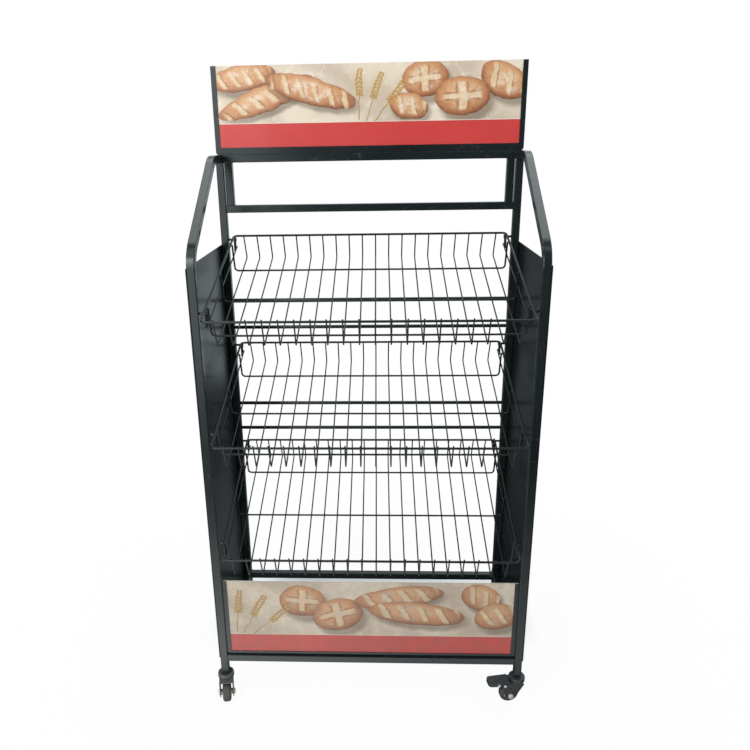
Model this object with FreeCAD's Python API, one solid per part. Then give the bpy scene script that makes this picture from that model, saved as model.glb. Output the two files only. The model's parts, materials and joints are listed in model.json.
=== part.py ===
import FreeCAD, Part
import math
import os

# Bakery bread rack: black tube frame on four swivel casters, three sloping wire baskets,
# two side panels and two sign holders. Millimetres, +Z up, the front faces -Y.
# The origin lies on the floor under the middle of the overall box.

os.makedirs("parts", exist_ok=True)

# ---- frame of square tube -------------------------------------------------------------------
frame_width = 780.0
frame_depth = 400.0
header_rise = 262.0             # top of the frame over the top basket's rear bend
tube = 19.0
tube_wall = 1.5
tube_corner = 2.0
leg_bottom = 76.0
low_bar_bottom = 113.0
arm_rise = 34.4                 # degrees above the horizontal
arm_knee_rise = 62.0            # where upright and arm would cross, over the top basket's rear bend
arm_bend = 65.0                 # to the centre line of the tube
arm_slot_length = 18.0
arm_slot_width = 5.0
arm_slot_along = 78.0           # from the knee, along the arm
header_gap = 106.0              # clear height between the two top bars
header_leg_gap = 3.0            # light slit beside the rear uprights

# ---- guard rods across the back -------------------------------------------------------------
guard_diameter = 8.0
guard_pitch = 75.3              # between the two rods of a pair
guard_above_rim = 38.1          # lowest rod of the upper pair over the middle basket's rear rim
guard_pair_extra = 8.3          # the pairs stand this much further apart than the baskets

# ---- side panels ----------------------------------------------------------------------------
panel_thickness = 2.0
panel_drop = 26.0               # below the crossing of upright and arm
panel_overlap = 9.0             # over the bottom side rail
panel_corner = 4.0

# ---- sign holders ---------------------------------------------------------------------------
holder_wall = 1.5
card_thickness = 3.0
card_play = 0.3
header_holder_inset = 1.5       # each end, inside the width of the frame
header_holder_height = 208.0
header_holder_border = 12.5
header_holder_sill = 17.0
low_holder_room = 45.8          # under the front bend of the low basket
low_holder_border = 11.0
low_holder_sill = 9.0
holder_corner = 7.0
holder_floor = 2.0

# ---- wire baskets ---------------------------------------------------------------------------
basket_count = 3
basket_pitch = 289.0
basket_rear_bend_height = 1101.0  # of the top basket; the top of the frame follows it
basket_rear_inset = 4.0         # rear bend in front of the back of the frame
basket_nose_reach = 32.8        # front bend of the floor in front of the frame
basket_slope = 16.4             # degrees
basket_rim_height = 66.0
rear_wall_lean = 11.0
lip_lean = 7.5
rim_room = 17.9                 # between the rim's centre line and the upright
rim_wire = 5.0
rim_corner = 14.0
long_wire = 3.0
long_wire_count = 20
long_wire_inset = 26.3          # outermost long wire inside the rim
long_wire_overshoot = 5.0       # wire ends over the rim
cross_wire = 3.5
cross_wire_corner = 13.0
rear_cross_wire = 70.0          # in front of the rear bend, along the floor
middle_cross_wire = 208.0       # behind the front bend
front_cross_wire = 49.0         # behind the front bend
side_wire = 3.0
side_wire_height = 27.0
side_wire_rear_reach = 12.0
hook_wire = 4.0
hook_half_width = 7.5
hook_drop = 6.0                 # legs below the side wire
hook_rise = 27.0                # arch over the side wire

# ---- studs that carry the baskets -----------------------------------------------------------
stud_diameter = 6.0
stud_head_diameter = 10.0
stud_head_thickness = 1.9
stud_play = 0.3

# ---- casters --------------------------------------------------------------------------------
wheel_diameter = 50.0
tyre_width = 21.0
tyre_crown = 7.0                # radius of the tread's shoulders
hub_diameter = 31.0
hub_rim_width = 15.0
hub_boss_diameter = 15.0
axle_diameter = 8.0
axle_play = 0.05
bolt_head_diameter = 13.0
bolt_head_height = 4.5
side_play = 0.4
trail = 20.0
front_right_turn = 190.0        # where each caster trails, in degrees from +X
front_left_turn = -80.0
rear_turn = -90.0
fork_gap = 32.0                 # between the fork plates
fork_plate = 2.0
fork_web_bottom = 60.0
fork_web = 2.5
cup_diameter = 42.0
cup_height = 11.0
cup_round = 2.5
fork_foot_radius = 13.0
fork_front_reach = 15.0
fork_rear_reach = 33.0
fork_corner = 5.0
fork_ear_reach = 42.0           # braked fork, whose ears hold the pedal
braked_web_reach = 26.0         # leaves room for the pedal
fork_rear_height = 52.0         # lower end of the plates' rear edge
kingpin_diameter = 8.0
kingpin_head_diameter = 14.0
kingpin_head_height = 2.0
raceway_diameter = 32.0
raceway_thickness = 3.0
raceway_play = 0.3
raceway_gap = 0.5               # round the upper raceway, inside the cup
socket_depth = 30.0
socket_flange = 3.0
stem_diameter = 10.0
stem_length = 26.0
brake_pin_along = 36.0
brake_pin_height = 58.0
brake_pin_diameter = 4.0
pedal_start = 23.0
pedal_end = 78.0
pedal_thickness = 3.0
pedal_droop = 1.0               # degrees
pedal_over_pin = 9.5            # top face over the pin's centre
pedal_wall = 2.0                # turned-down sides and tip
pedal_depth = 12.0              # at the pin
pedal_tip_depth = 9.0
pedal_play = 0.3
pedal_corner = 9.0
rivet_along = 51.5
rivet_drop = 7.5                # under the pedal's top face
shoe_start = 37.0
shoe_length = 7.0
shoe_width = 15.0
shoe_gap = 2.4                  # over the tread, brake off

# ---- what follows from them -----------------------------------------------------------------
slope = math.radians(basket_slope)
basket_floor_length = (frame_depth - basket_rear_inset + basket_nose_reach) / math.cos(slope)
wire_contact = (long_wire + rim_wire) / 2
rim_rear = basket_rim_height * math.tan(math.radians(rear_wall_lean)) - wire_contact / math.cos(
    math.radians(rear_wall_lean))
rim_front = basket_floor_length + basket_rim_height * math.tan(math.radians(lip_lean)) + (
    wire_contact / math.cos(math.radians(lip_lean)))
lip_rise = basket_rim_height + long_wire_overshoot
lip_end_along = basket_floor_length + lip_rise * math.tan(math.radians(lip_lean))
lip_reach = rim_front * math.cos(slope) + basket_rim_height * math.sin(slope) + rim_wire / 2
wire_reach = (lip_end_along * math.cos(slope) + lip_rise * math.sin(slope)
              + long_wire / 2 * math.cos(slope + math.radians(lip_lean)))
front_overhang = max(lip_reach, wire_reach) + basket_rear_inset - frame_depth
rear_overhang = (cup_diameter - tube) / 2
back_face = (frame_depth + front_overhang - rear_overhang) / 2
front_face = back_face - frame_depth
outer_x = frame_width / 2
inner_x = outer_x - tube
post_x = outer_x - tube / 2
front_post_y = front_face + tube / 2
rear_post_y = back_face - tube / 2
frame_top = basket_rear_bend_height + header_rise
arm_knee_height = basket_rear_bend_height + arm_knee_rise
panel_top = arm_knee_height - panel_drop
low_bar_top = low_bar_bottom + tube
low_nose_height = (basket_rear_bend_height - (basket_count - 1) * basket_pitch
                   - basket_floor_length * math.sin(slope))
low_holder_height = low_nose_height - low_holder_room - low_bar_top
top_bar_bottom = frame_top - tube
rear_bend_y = back_face - basket_rear_inset
kingpin_head_top = fork_web_bottom - raceway_play
cup_bottom = fork_web_bottom + fork_web
cup_top = cup_bottom + cup_height
fork_outer = fork_gap / 2 + fork_plate
socket_bottom = leg_bottom - socket_flange
raceway_bottom = socket_bottom - raceway_thickness
rim_half_width = inner_x - rim_room
long_wire_pitch = 2 * (rim_half_width - long_wire_inset) / (long_wire_count - 1)
side_wire_x = rim_half_width - rim_wire / 2 + side_wire / 2
hook_x = side_wire_x + side_wire / 2 + hook_wire / 2
stud_height = hook_rise - hook_wire / 2 - stud_diameter / 2


def vec(x, y, z):
    return FreeCAD.Vector(x, y, z)


def save(shape, name):
    if not shape.isValid():
        raise ValueError(name + " is not a valid shape")
    shape.exportStep("parts/" + name + ".step")


def block(x_range, y_range, z_range):
    size = [high - low for low, high in (x_range, y_range, z_range)]
    return Part.makeBox(*size, vec(x_range[0], y_range[0], z_range[0]))


def rod(start, end, diameter):
    return Part.makeCylinder(diameter / 2, (end - start).Length, start, end - start)


def mirrored(shape):
    return shape.mirror(vec(0, 0, 0), vec(1, 0, 0))


def square_outline(centre, direction, across, side, corner):
    """Rounded square, centred on a point, square to a direction."""
    first = FreeCAD.Vector(across).normalize()
    second = direction.cross(first).normalize()
    half = side / 2
    points = []
    for a, b in ((-1, -1), (1, -1), (1, 1), (-1, 1)):
        points.append(centre + first * (a * half) + second * (b * half))
    return rounded_path(points, corner, closed=True)


def corner_arc(before, at, after, radius):
    """Tangent arc in the corner of three points, and its two ends."""
    back = (before - at).normalize()
    ahead = (after - at).normalize()
    half_angle = back.getAngle(ahead) / 2
    reach = radius / math.tan(half_angle)
    start = at + back * reach
    end = at + ahead * reach
    inward = (back + ahead).normalize()
    middle = at + inward * (radius / math.sin(half_angle) - radius)
    return start, middle, end


def rounded_path(points, radius, closed=False):
    """Wire through the points, with a tangent arc of one radius in each corner."""
    count = len(points)
    corners = range(count) if closed else range(1, count - 1)
    arcs = {}
    for index in corners:
        arcs[index] = corner_arc(points[index - 1], points[index], points[(index + 1) % count], radius)
    edges = []
    for index in range(count if closed else count - 1):
        following = (index + 1) % count
        start = arcs[index][2] if index in arcs else points[index]
        end = arcs[following][0] if following in arcs else points[following]
        edges.append(Part.makeLine(start, end))
        if following in arcs:
            edges.append(Part.Arc(*arcs[following]).toShape())
    return Part.Wire(edges)


def round_wire(path, diameter):
    """Bent wire of round section along a smooth path."""
    first = path.Edges[0]
    start = first.valueAt(first.FirstParameter)
    heading = first.tangentAt(first.FirstParameter)
    section = Part.Wire(Part.makeCircle(diameter / 2, start, heading))
    return path.makePipeShell([section], True, False)


def folded_wire(points, diameter):
    """Wire folded sharply at each point."""
    section = Part.Wire(Part.makeCircle(diameter / 2, points[0], points[1] - points[0]))
    return Part.makePolygon(points).makePipeShell([section], True, False, 1)


def square_tube(points, bend=0.0):
    """Hollow square tube whose bends lie in the plane across X."""
    path = rounded_path(points, bend) if bend else Part.makePolygon(points)
    heading = (points[1] - points[0]).normalize()
    across = vec(1, 0, 0) if abs(heading.x) < 0.5 else vec(0, 1, 0)
    outside = square_outline(points[0], heading, across, tube, tube_corner)
    inside = square_outline(points[0], heading, across, tube - 2 * tube_wall, tube_corner - tube_wall)
    solid = path.makePipeShell([outside], True, False)
    hollow = path.makePipeShell([inside], True, False)
    return solid.cut(hollow)


# ---- frame ----------------------------------------------------------------------------------
def front_post():
    """Upright and sloping arm, bent from one tube, with a slot in the arm's inner face."""
    rise = math.radians(arm_rise)
    top_axis = frame_top - tube / 2
    shoulder_y = front_post_y + (top_axis - arm_knee_height) / math.tan(rise)
    points = [
        vec(post_x, front_post_y, leg_bottom),
        vec(post_x, front_post_y, arm_knee_height),
        vec(post_x, shoulder_y, top_axis),
        vec(post_x, back_face - tube, top_axis),
    ]
    along = vec(0, math.cos(rise), math.sin(rise))
    centre = points[1] + along * arm_slot_along
    ends = [centre + along * (side * (arm_slot_length - arm_slot_width) / 2) for side in (-1, 1)]
    through = vec(-tube / 2 - 1, 0, 0)
    slot = rod(ends[0], ends[0] + through, arm_slot_width)
    slot = slot.fuse(rod(ends[1], ends[1] + through, arm_slot_width))
    up = vec(0, -math.sin(rise), math.cos(rise)) * (arm_slot_width / 2)
    outline = [ends[0] - up, ends[1] - up, ends[1] + up, ends[0] + up, ends[0] - up]
    slot = slot.fuse(Part.Face(Part.makePolygon(outline)).extrude(through))
    return square_tube(points, arm_bend).cut(slot)


def rear_post():
    """Straight upright with a closed top."""
    post = square_tube([vec(post_x, rear_post_y, leg_bottom), vec(post_x, rear_post_y, frame_top)])
    half = tube / 2 - tube_wall
    cap = block((post_x - half, post_x + half), (rear_post_y - half, rear_post_y + half),
                (frame_top - tube_wall, frame_top))
    return post.fuse(cap)


def cross_bar(y, bottom):
    height = bottom + tube / 2
    return square_tube([vec(-inner_x, y, height), vec(inner_x, y, height)])


def side_rail():
    height = low_bar_bottom + tube / 2
    return square_tube([vec(post_x, front_face + tube, height), vec(post_x, back_face - tube, height)])


def header_leg():
    x = inner_x - header_leg_gap - tube / 2
    return square_tube([vec(x, rear_post_y, top_bar_bottom - header_gap),
                        vec(x, rear_post_y, top_bar_bottom)])


def guard_rods():
    rods = []
    lowest = basket_point(1, 0, rim_rear, basket_rim_height).z + guard_above_rim
    for pair in range(basket_count - 1):
        for step in range(2):
            height = lowest + step * guard_pitch - pair * (basket_pitch + guard_pair_extra)
            rods.append(rod(vec(-inner_x, rear_post_y, height), vec(inner_x, rear_post_y, height),
                            guard_diameter))
    return Part.makeCompound(rods)


def side_panel():
    bottom = low_bar_top - panel_overlap
    corners = [
        vec(outer_x, front_face, bottom),
        vec(outer_x, back_face, bottom),
        vec(outer_x, back_face, panel_top),
        vec(outer_x, front_face, panel_top),
    ]
    return Part.Face(rounded_path(corners, panel_corner, closed=True)).extrude(vec(panel_thickness, 0, 0))


# ---- sign holders ---------------------------------------------------------------------------
def holder_depth():
    return card_thickness + 2 * card_play + 2 * holder_wall


def sign_holder(width, bottom, height, border, sill, y, corner):
    """Folded channel on three sides, open at the top."""
    depth = holder_depth()
    outer = block((-width / 2, width / 2), (y - depth / 2, y + depth / 2), (bottom, bottom + height))
    if corner:
        low_edges = [edge for edge in outer.Edges
                     if abs(edge.BoundBox.ZMax - bottom) < 0.1 and edge.BoundBox.YLength > depth / 2]
        outer = outer.makeFillet(corner, low_edges)
    half_slot = card_thickness / 2 + card_play
    pocket = block((-width / 2 + holder_wall, width / 2 - holder_wall), (y - half_slot, y + half_slot),
                   (bottom + holder_floor, bottom + height + 1))
    window = block((-width / 2 + border, width / 2 - border), (y - depth, y + depth),
                   (bottom + sill, bottom + height + 1))
    pocket_corner = max(corner - holder_wall, 0)
    if pocket_corner:
        low_edges = [edge for edge in pocket.Edges
                     if abs(edge.BoundBox.ZMax - bottom - holder_floor) < 0.1
                     and edge.BoundBox.YLength > half_slot]
        pocket = pocket.makeFillet(pocket_corner, low_edges)
    return outer.cut(pocket).cut(window)


def sign_card(width, bottom, height, y, corner):
    """Stiff card that stands in a holder; its top is level with the holder's."""
    half_width = width / 2 - holder_wall - card_play
    lower = bottom + holder_floor
    card = block((-half_width, half_width), (y - card_thickness / 2, y + card_thickness / 2),
                 (lower, bottom + height))
    if corner:
        low_edges = [edge for edge in card.Edges
                     if abs(edge.BoundBox.ZMax - lower) < 0.1 and edge.BoundBox.YLength > 1]
        card = card.makeFillet(corner, low_edges)
    return card


# ---- wire baskets ---------------------------------------------------------------------------
def basket_point(level, x, along, height):
    """Point in a basket: along its floor from the rear bend, and square off the floor."""
    y = rear_bend_y - along * math.cos(slope) - height * math.sin(slope)
    z = basket_rear_bend_height - level * basket_pitch
    z += height * math.cos(slope) - along * math.sin(slope)
    return vec(x, y, z)


def floor_wires(level):
    """Long wires: rear wall, floor and front lip in one piece each."""
    rear_rise = basket_rim_height + long_wire_overshoot
    rear_end = rear_rise * math.tan(math.radians(rear_wall_lean))
    wires = []
    for index in range(long_wire_count):
        x = (index - (long_wire_count - 1) / 2) * long_wire_pitch
        wires.append(folded_wire([
            basket_point(level, x, rear_end, rear_rise),
            basket_point(level, x, 0, 0),
            basket_point(level, x, basket_floor_length, 0),
            basket_point(level, x, lip_end_along, lip_rise),
        ], long_wire))
    return Part.makeCompound(wires)


def cross_wires(level):
    """Wires under the floor, turned up at both sides as far as the rim."""
    drop = -(long_wire + cross_wire) / 2
    half = rim_half_width - (rim_wire + cross_wire) / 2
    wires = []
    for along in (rear_cross_wire, basket_floor_length - middle_cross_wire,
                  basket_floor_length - front_cross_wire):
        corners = [
            basket_point(level, -half, along, basket_rim_height),
            basket_point(level, -half, along, drop),
            basket_point(level, half, along, drop),
            basket_point(level, half, along, basket_rim_height),
        ]
        wires.append(round_wire(rounded_path(corners, cross_wire_corner), cross_wire))
    return Part.makeCompound(wires)


def rim(level):
    corners = []
    for x, along in ((0, rim_rear), (1, rim_rear), (1, rim_front), (-1, rim_front), (-1, rim_rear)):
        corners.append(basket_point(level, x * rim_half_width, along, basket_rim_height))
    corners.append(corners[0])
    return round_wire(rounded_path(corners, rim_corner), rim_wire)


def side_wire_span():
    """Where the side wires start and end, along the floor."""
    front_hook = along_at(front_post_y - hook_half_width - hook_wire, side_wire_height)
    return -side_wire_rear_reach, front_hook


def along_at(y, height):
    return (rear_bend_y - y - height * math.sin(slope)) / math.cos(slope)


def side_wires(level):
    rear, front = side_wire_span()
    wires = []
    for side in (-1, 1):
        start = basket_point(level, side * side_wire_x, rear, side_wire_height)
        end = basket_point(level, side * side_wire_x, front, side_wire_height)
        wires.append(rod(start, end, side_wire))
    return Part.makeCompound(wires)


def stud_centre(level, post_y):
    on_wire = basket_point(level, 0, along_at(post_y, side_wire_height), side_wire_height)
    return vec(0, post_y, on_wire.z + stud_height)


def hooks(level):
    """Four arches that hang over the studs, welded to the side wires by both legs."""
    slack = hook_half_width * math.tan(slope)
    wires = []
    for post_y in (front_post_y, rear_post_y):
        middle = stud_centre(level, post_y)
        wire_z = middle.z - stud_height
        for side in (-1, 1):
            x = side * hook_x
            corners = [
                vec(x, post_y - hook_half_width, wire_z - slack - hook_drop),
                vec(x, post_y - hook_half_width, wire_z + hook_rise),
                vec(x, post_y + hook_half_width, wire_z + hook_rise),
                vec(x, post_y + hook_half_width, wire_z + slack - hook_drop),
            ]
            wires.append(round_wire(rounded_path(corners, hook_half_width - 0.5), hook_wire))
    return Part.makeCompound(wires)


def basket_studs():
    head_x = hook_x - hook_wire / 2 - stud_play
    studs = []
    for level in range(basket_count):
        for post_y in (front_post_y, rear_post_y):
            middle = stud_centre(level, post_y)
            shank = rod(vec(head_x, middle.y, middle.z), vec(inner_x, middle.y, middle.z), stud_diameter)
            head = rod(vec(head_x - stud_head_thickness, middle.y, middle.z),
                       vec(head_x, middle.y, middle.z), stud_head_diameter)
            stud = shank.fuse(head)
            studs.append(stud)
            studs.append(mirrored(stud))
    return Part.makeCompound(studs)


# ---- casters: made pointing along +X, then turned and moved to their post --------------------
def placed(shape, x, y, turn):
    moved = shape.copy()
    moved.rotate(vec(0, 0, 0), vec(0, 0, 1), turn)
    moved.translate(vec(x, y, 0))
    return moved


def stem_socket():
    """Plug inside the foot of an upright, with a flange under it."""
    half = tube / 2 - tube_wall
    plug = block((-half, half), (-half, half), (leg_bottom, leg_bottom + socket_depth))
    plug = plug.makeFillet(tube_corner - tube_wall, [edge for edge in plug.Edges
                                                     if edge.BoundBox.ZLength > socket_depth - 1])
    flange = block((-tube / 2, tube / 2), (-tube / 2, tube / 2), (socket_bottom, leg_bottom))
    bore = rod(vec(0, 0, socket_bottom - 1), vec(0, 0, socket_bottom + stem_length), stem_diameter)
    return plug.fuse(flange).cut(bore)


def caster_stem():
    """Threaded stem, upper raceway and riveted kingpin in one turned piece."""
    profile = [
        (0, kingpin_head_top - kingpin_head_height),
        (kingpin_head_diameter / 2, kingpin_head_top - kingpin_head_height),
        (kingpin_head_diameter / 2, kingpin_head_top),
        (kingpin_diameter / 2, kingpin_head_top),
        (kingpin_diameter / 2, raceway_bottom),
        (raceway_diameter / 2, raceway_bottom),
        (raceway_diameter / 2, socket_bottom),
        (stem_diameter / 2, socket_bottom),
        (stem_diameter / 2, socket_bottom + stem_length),
        (0, socket_bottom + stem_length),
    ]
    points = [vec(radius, 0, height) for radius, height in profile]
    face = Part.Face(Part.makePolygon(points + [points[0]]))
    return face.revolve(vec(0, 0, 0), vec(0, 0, 1), 360)


def fork_side(rear_reach):
    """Side view of a fork plate: broad at the head, tapering to the axle."""
    axle_height = wheel_diameter / 2
    foot_turn = math.radians(35)
    foot_reach = fork_foot_radius * math.cos(foot_turn)
    foot_drop = fork_foot_radius * math.sin(foot_turn)
    foot_front = vec(trail - foot_reach, 0, axle_height - foot_drop)
    foot_rear = vec(trail + foot_reach, 0, axle_height - foot_drop)
    foot_low = vec(trail, 0, axle_height - fork_foot_radius)
    front_top = vec(fork_corner - fork_front_reach, 0, cup_bottom)
    front_low = vec(-fork_front_reach, 0, cup_bottom - fork_corner)
    rear_top = vec(rear_reach, 0, cup_bottom)
    rear_low = vec(rear_reach, 0, fork_rear_height)
    edges = [
        Part.makeLine(front_top, front_low),
        Part.makeLine(front_low, foot_front),
        Part.Arc(foot_front, foot_low, foot_rear).toShape(),
        Part.makeLine(foot_rear, rear_low),
        Part.makeLine(rear_low, rear_top),
        Part.makeLine(rear_top, front_top),
    ]
    return Part.Face(Part.Wire(edges))


def swivel_cup():
    """Round cup with a rolled edge and a pocket in which the upper raceway turns."""
    cup = rod(vec(0, 0, cup_bottom), vec(0, 0, cup_top), cup_diameter)
    rounded = [edge for edge in cup.Edges if abs(edge.BoundBox.ZMin - cup_top) < 0.1
               and edge.Length > cup_diameter]
    cup = cup.makeFillet(cup_round, rounded)
    return cup.cut(rod(vec(0, 0, raceway_bottom - raceway_play), vec(0, 0, cup_top + 1),
                       raceway_diameter + 2 * raceway_gap))


def fork(braked):
    """Cup over a bent plate with two tapered sides, bored for kingpin, axle and brake pin."""
    plate_reach = fork_ear_reach if braked else fork_rear_reach
    web_reach = braked_web_reach if braked else fork_rear_reach
    side = fork_side(plate_reach).extrude(vec(0, fork_plate, 0))
    near = side.copy()
    near.translate(vec(0, -fork_outer, 0))
    far = side.copy()
    far.translate(vec(0, fork_gap / 2, 0))
    web = block((fork_corner - fork_front_reach, web_reach), (-fork_outer, fork_outer),
                (fork_web_bottom, cup_bottom))
    body = near.fuse(far).fuse(web).fuse(swivel_cup())
    kingpin_hole = rod(vec(0, 0, fork_web_bottom - 1), vec(0, 0, cup_top + 1),
                       kingpin_diameter + 2 * axle_play)
    axle_hole = rod(vec(trail, -fork_outer - 1, wheel_diameter / 2),
                    vec(trail, fork_outer + 1, wheel_diameter / 2), axle_diameter)
    body = body.cut(kingpin_hole).cut(axle_hole)
    if braked:
        body = body.cut(rod(vec(brake_pin_along, -fork_outer - 1, brake_pin_height),
                            vec(brake_pin_along, fork_outer + 1, brake_pin_height), brake_pin_diameter))
    return body


def axle_bolt():
    """Domed bolt through both fork plates, with a nut on the far end."""
    height = wheel_diameter / 2
    shank = rod(vec(trail, -fork_outer, height), vec(trail, fork_outer + bolt_head_height, height),
                axle_diameter)
    head = rod(vec(trail, -fork_outer - bolt_head_height, height), vec(trail, -fork_outer, height),
               bolt_head_diameter)
    head = head.makeFillet(1.5, [edge for edge in head.Edges
                                 if edge.BoundBox.YMax < -fork_outer - bolt_head_height + 0.1])
    corners = []
    for index in range(6):
        angle = math.radians(60 * index + 30)
        reach = bolt_head_diameter / 2 / math.cos(math.radians(30))
        corners.append(vec(trail + reach * math.cos(angle), fork_outer, height + reach * math.sin(angle)))
    nut = Part.Face(Part.makePolygon(corners + [corners[0]])).extrude(vec(0, bolt_head_height - 1, 0))
    return shank.fuse(head).fuse(nut)


def turned_wheel(profile):
    """Ring turned about the axle from (radius, sideways) points."""
    points = [vec(trail + radius, side, wheel_diameter / 2) for radius, side in profile]
    face = Part.Face(Part.makePolygon(points + [points[0]]))
    return face.revolve(vec(trail, 0, wheel_diameter / 2), vec(0, 1, 0), 360)


def wheel_hub():
    bore = axle_diameter / 2 + axle_play
    boss = fork_gap / 2 - side_play
    web = hub_rim_width / 4
    rim_half = hub_rim_width / 2
    rim_inner = hub_diameter / 2 - 2.5
    return turned_wheel([
        (bore, -boss),
        (hub_boss_diameter / 2, -boss),
        (hub_boss_diameter / 2, -web),
        (rim_inner, -web),
        (rim_inner, -rim_half),
        (hub_diameter / 2, -rim_half),
        (hub_diameter / 2, rim_half),
        (rim_inner, rim_half),
        (rim_inner, web),
        (hub_boss_diameter / 2, web),
        (hub_boss_diameter / 2, boss),
        (bore, boss),
    ])


def tyre():
    half = tyre_width / 2
    outside = wheel_diameter / 2
    ring = turned_wheel([
        (hub_diameter / 2, -half),
        (outside, -half),
        (outside, half),
        (hub_diameter / 2, half),
    ])
    shoulders = [edge for edge in ring.Edges if edge.Length > 2 * math.pi * outside - 1]
    return ring.makeFillet(tyre_crown, shoulders)


def cross_rivet(along, height, diameter, reach):
    """Rivet through the caster from side to side, with a flat head on each end."""
    rivet = rod(vec(along, -reach, height), vec(along, reach, height), diameter)
    for side in (-1, 1):
        rivet = rivet.fuse(rod(vec(along, side * reach, height), vec(along, side * (reach + 1.5), height),
                               diameter + 3))
    return rivet


def pedal_top_at(along):
    droop = math.tan(math.radians(pedal_droop))
    return brake_pin_height + pedal_over_pin - (along - brake_pin_along) * droop


def pedal_block(inset, top_cut):
    """Lever-shaped block: level on top, swept up underneath towards the rounded tip.

    Inset, it is the hollow, which runs out below and behind.
    """
    half = fork_gap / 2 - pedal_play - inset
    start = pedal_start - inset
    end = pedal_end - inset
    outline = [
        vec(start, -half, pedal_top_at(start) - top_cut),
        vec(end, -half, pedal_top_at(end) - top_cut),
        vec(end, -half, pedal_top_at(end) - pedal_tip_depth - inset),
        vec(brake_pin_along + 8, -half, pedal_top_at(brake_pin_along) - pedal_depth - inset),
        vec(brake_pin_along - 5, -half, pedal_top_at(brake_pin_along) - pedal_depth - inset),
        vec(brake_pin_along - 8, -half, pedal_top_at(start) - pedal_tip_depth / 2 - inset),
        vec(start, -half, pedal_top_at(start) - pedal_tip_depth / 2 - inset),
    ]
    side = Part.Face(Part.makePolygon(outline + [outline[0]])).extrude(vec(0, 2 * half, 0))
    tip = [edge for edge in side.Edges
           if edge.BoundBox.XMin > end - 0.1 and edge.BoundBox.ZLength > pedal_tip_depth / 2]
    return side.makeFillet(pedal_corner - inset, tip)


def shoe_height_at(along):
    """Height of the shoe's working face, a constant gap over the tread."""
    reach = wheel_diameter / 2 + shoe_gap
    return wheel_diameter / 2 + math.sqrt(reach ** 2 - (along - trail) ** 2)


def brake_pedal():
    """Foot lever, open underneath, with a shoe that is pressed on the tyre."""
    outside = fork_gap / 2
    pedal = pedal_block(0, 0).cut(pedal_block(pedal_wall, pedal_thickness))
    shoe_end = shoe_start + shoe_length
    shoe_face = [
        vec(shoe_start, -shoe_width / 2, pedal_top_at(shoe_start) - pedal_thickness / 2),
        vec(shoe_start, -shoe_width / 2, shoe_height_at(shoe_start)),
        vec(shoe_end, -shoe_width / 2, shoe_height_at(shoe_end)),
        vec(shoe_end, -shoe_width / 2, pedal_top_at(shoe_end) - pedal_thickness / 2),
    ]
    shoe = Part.Face(Part.makePolygon(shoe_face + [shoe_face[0]])).extrude(vec(0, shoe_width, 0))
    pin_hole = rod(vec(brake_pin_along, -outside - 1, brake_pin_height),
                   vec(brake_pin_along, outside + 1, brake_pin_height), brake_pin_diameter + 2 * axle_play)
    rivet_height = pedal_top_at(rivet_along) - rivet_drop
    rivet_hole = rod(vec(rivet_along, -outside - 1, rivet_height),
                     vec(rivet_along, outside + 1, rivet_height), brake_pin_diameter)
    return pedal.fuse(shoe).removeSplitter().cut(pin_hole).cut(rivet_hole)


def brake_pin():
    """Rivet through both fork plates, on which the pedal turns."""
    return cross_rivet(brake_pin_along, brake_pin_height, brake_pin_diameter, fork_outer)


def pedal_rivet():
    """Rivet that ties the pedal's two sides."""
    return cross_rivet(rivet_along, pedal_top_at(rivet_along) - rivet_drop, brake_pin_diameter,
                       fork_gap / 2 - pedal_play)


def save_caster(name, x, y, turn, braked):
    save(placed(fork(braked), x, y, turn), name + "_fork")
    save(placed(axle_bolt(), x, y, turn), name + "_axle_bolt")
    save(placed(wheel_hub(), x, y, turn), name + "_hub")
    save(placed(tyre(), x, y, turn), name + "_tyre")
    if braked:
        save(placed(brake_pedal(), x, y, turn), name + "_brake_pedal")
        save(placed(brake_pin(), x, y, turn), name + "_brake_pin")
        save(placed(pedal_rivet(), x, y, turn), name + "_pedal_rivet")


def save_frame():
    save(front_post(), "front_post_right")
    save(mirrored(front_post()), "front_post_left")
    save(rear_post(), "rear_post_right")
    save(mirrored(rear_post()), "rear_post_left")
    save(side_rail(), "side_rail_right")
    save(mirrored(side_rail()), "side_rail_left")
    save(cross_bar(front_post_y, low_bar_bottom), "front_bottom_bar")
    save(cross_bar(rear_post_y, low_bar_bottom), "rear_bottom_bar")
    save(cross_bar(rear_post_y, top_bar_bottom), "top_bar")
    save(cross_bar(rear_post_y, top_bar_bottom - header_gap - tube), "header_lower_bar")
    save(header_leg(), "header_leg_right")
    save(mirrored(header_leg()), "header_leg_left")
    save(guard_rods(), "back_guard_rods")
    save(side_panel(), "side_panel_right")
    save(mirrored(side_panel()), "side_panel_left")
    save(basket_studs(), "basket_studs")


def save_signs():
    header_width = frame_width - 2 * header_holder_inset
    save(sign_holder(header_width, frame_top, header_holder_height, header_holder_border,
                     header_holder_sill, rear_post_y, holder_corner), "header_sign_holder")
    save(sign_card(header_width, frame_top, header_holder_height, rear_post_y,
                   holder_corner), "header_sign_card")
    save(sign_holder(2 * inner_x, low_bar_top, low_holder_height, low_holder_border,
                     low_holder_sill, front_post_y, 0), "lower_sign_holder")
    save(sign_card(2 * inner_x, low_bar_top, low_holder_height, front_post_y, 0), "lower_sign_card")


def save_baskets():
    for level, name in enumerate(("top", "middle", "low")):
        save(floor_wires(level), name + "_basket_floor_wires")
        save(cross_wires(level), name + "_basket_cross_wires")
        save(rim(level), name + "_basket_rim")
        save(side_wires(level), name + "_basket_side_wires")
        save(hooks(level), name + "_basket_hooks")


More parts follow.
